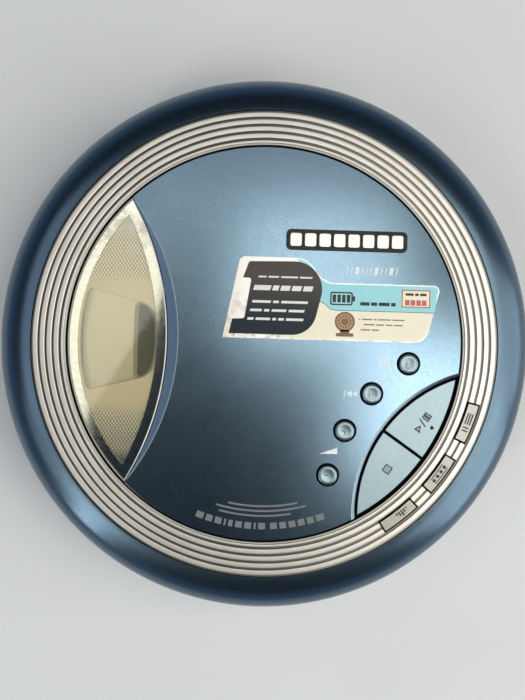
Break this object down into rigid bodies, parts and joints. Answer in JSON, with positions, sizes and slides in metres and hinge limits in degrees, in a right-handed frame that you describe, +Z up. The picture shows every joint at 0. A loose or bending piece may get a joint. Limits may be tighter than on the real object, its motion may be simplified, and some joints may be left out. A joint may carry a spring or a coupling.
{
  "type": "portable disc player",
  "caption": "Round clamshell portable disc player with ribbed lid ring, lens-shaped display window, key cluster, spindle, sliding optical sled and battery bay.",
  "frame": {"origin": "on the table, under the spindle axis", "axes": "+Z up through the spindle, +Y towards the lid hinge, +X to the right with the keys at the lower right"},
  "size_m": [0.134, 0.1345, 0.0283],
  "materials": {
    "shell_blue": "metallic blue paint, satin",
    "base_blue": "metallic blue paint, satin",
    "key_blue": "metallic blue paint",
    "key_light": "light metallic paint, satin",
    "silver_paint": "silver plated, satin",
    "chrome_part": "polished",
    "mirror_film": "mirror coated",
    "clear": "clear, polished",
    "lens_glass": "coated",
    "plate_beige": "printed diamond pattern",
    "lcd": "reflective display glass",
    "black_plastic": "black, fine texture",
    "deck_plastic": "dark grey, fine texture",
    "white_plastic": "natural acetal",
    "rubber_black": "matt",
    "steel": "plain",
    "bright_steel": "ground",
    "black_screw": "black oxide",
    "brass_part": "plain",
    "alu": "satin",
    "magnet": "nickel plated",
    "board_green": "solder mask",
    "ribbon": "polyimide ribbon",
    "cell_wrap": null,
    "label_print": "printed label, wordless",
    "badge": "black with silver inlay, blank"
  },
  "bodies": {
    "base": {"base_case": "base_blue", "rubber_feet": "rubber_black", "aa_cells": "cell_wrap", "battery_contacts": "steel", "battery_springs": "bright_steel", "disc_deck": "deck_plastic", "case_screws": "black_screw", "mech_chassis": "steel", "damper_grommets": "rubber_black", "damper_screws": "bright_steel", "spindle_motor": "alu", "guide_rods": "bright_steel", "feed_motor": "alu", "main_board": "board_green", "board_chips": "black_plastic", "board_capacitors": "alu", "board_screws": "bright_steel", "pickup_flex": "ribbon", "headphone_jack": "black_plastic", "dc_jack": "black_plastic", "dc_jack_pin": "bright_steel", "lid_switch": "black_plastic", "latch_spring": "bright_steel", "hinge_pins": "bright_steel", "hinge_spring": "bright_steel"},
    "door": {"battery_door": "base_blue"},
    "turntable": {"spindle_shaft": "bright_steel", "turntable_hub": "white_plastic", "turntable_mat": "rubber_black", "chuck_balls": "bright_steel"},
    "sled": {"pickup_sled": "black_plastic", "actuator_magnets": "magnet"},
    "lens": {"lens_holder": "black_plastic", "objective_lens": "lens_glass"},
    "gear": {"feed_gear": "white_plastic"},
    "pinion": {"feed_pinion": "brass_part"},
    "opener": {"open_slider": "silver_paint"},
    "hold": {"hold_knob": "silver_paint"},
    "lid": {"lid_shell": "shell_blue", "trim_ring": "silver_paint", "lid_panel": "shell_blue", "display_window": "clear", "display_bezel": "mirror_film", "display_plate": "plate_beige", "lcd_module": "lcd", "lid_board": "board_green", "key_switches": "black_plastic", "lid_cover": "deck_plastic", "lid_screws": "black_screw", "badge_plate": "badge", "product_label": "label_print"},
    "key_next_body": {"key_next": "key_blue"},
    "key_prev_body": {"key_prev": "key_blue"},
    "key_vol_up_body": {"key_vol_up": "key_blue"},
    "key_vol_down_body": {"key_vol_down": "key_blue"},
    "key_play_body": {"key_play": "key_light"},
    "key_stop_body": {"key_stop": "key_light"},
    "key_bar_a_body": {"key_bar_a": "silver_paint"},
    "key_bar_b_body": {"key_bar_b": "silver_paint"},
    "key_bar_c_body": {"key_bar_c": "silver_paint"}
  },
  "joints": [
    {"name": "lid_hinge", "type": "hinge", "parent": "base", "child": "lid", "pos_m": [0, 0.064, 0.0196], "axis": [-1, 0, 0], "range_deg": [0, 80]},
    {"name": "battery_door_hinge", "type": "hinge", "parent": "base", "child": "door", "pos_m": [-0.03725, 0.0262, 0.0022], "axis": [1, 0, 0], "range_deg": [0, 95]},
    {"name": "open_slide", "type": "slide", "parent": "base", "child": "opener", "axis": [1, 0, 0], "range_m": [0, 0.003]},
    {"name": "hold_slide", "type": "slide", "parent": "base", "child": "hold", "axis": [0.342, 0.9397, 0], "range_m": [0, 0.002]},
    {"name": "spindle_turn", "type": "hinge", "parent": "base", "child": "turntable", "pos_m": [0, 0, 0.015], "axis": [0, 0, 1], "continuous": true},
    {"name": "sled_slide", "type": "slide", "parent": "base", "child": "sled", "axis": [1, 0, 0], "range_m": [0, 0.0335]},
    {"name": "lens_focus", "type": "slide", "parent": "sled", "child": "lens", "axis": [0, 0, 1], "range_m": [-0.0005, 0.0005]},
    {"name": "feed_gear_turn", "type": "hinge", "parent": "base", "child": "gear", "pos_m": [0.024, 0.023, 0.012], "axis": [0, 0, 1], "range_deg": [0, 641]},
    {"name": "feed_pinion_turn", "type": "hinge", "parent": "base", "child": "pinion", "pos_m": [0.02845, 0.03254, 0.0115], "axis": [0, 0, 1], "range_deg": [-2050, 0]},
    {"name": "key_next_press", "type": "slide", "parent": "lid", "child": "key_next_body", "axis": [0, 0, -1], "range_m": [0, 0.00045]},
    {"name": "key_prev_press", "type": "slide", "parent": "lid", "child": "key_prev_body", "axis": [0, 0, -1], "range_m": [0, 0.00045]},
    {"name": "key_vol_up_press", "type": "slide", "parent": "lid", "child": "key_vol_up_body", "axis": [0, 0, -1], "range_m": [0, 0.00045]},
    {"name": "key_vol_down_press", "type": "slide", "parent": "lid", "child": "key_vol_down_body", "axis": [0, 0, -1], "range_m": [0, 0.00045]},
    {"name": "key_play_press", "type": "slide", "parent": "lid", "child": "key_play_body", "axis": [0, 0, -1], "range_m": [0, 0.00045]},
    {"name": "key_stop_press", "type": "slide", "parent": "lid", "child": "key_stop_body", "axis": [0, 0, -1], "range_m": [0, 0.00045]},
    {"name": "key_bar_a_press", "type": "slide", "parent": "lid", "child": "key_bar_a_body", "axis": [0, 0, -1], "range_m": [0, 0.00045]},
    {"name": "key_bar_b_press", "type": "slide", "parent": "lid", "child": "key_bar_b_body", "axis": [0, 0, -1], "range_m": [0, 0.00045]},
    {"name": "key_bar_c_press", "type": "slide", "parent": "lid", "child": "key_bar_c_body", "axis": [0, 0, -1], "range_m": [0, 0.00045]}
  ],
  "couplings": [
    {"joint": "feed_gear_turn", "follows": "sled_slide", "rad_per_m": 333.33},
    {"joint": "feed_pinion_turn", "follows": "sled_slide", "rad_per_m": -1066.7}
  ]
}
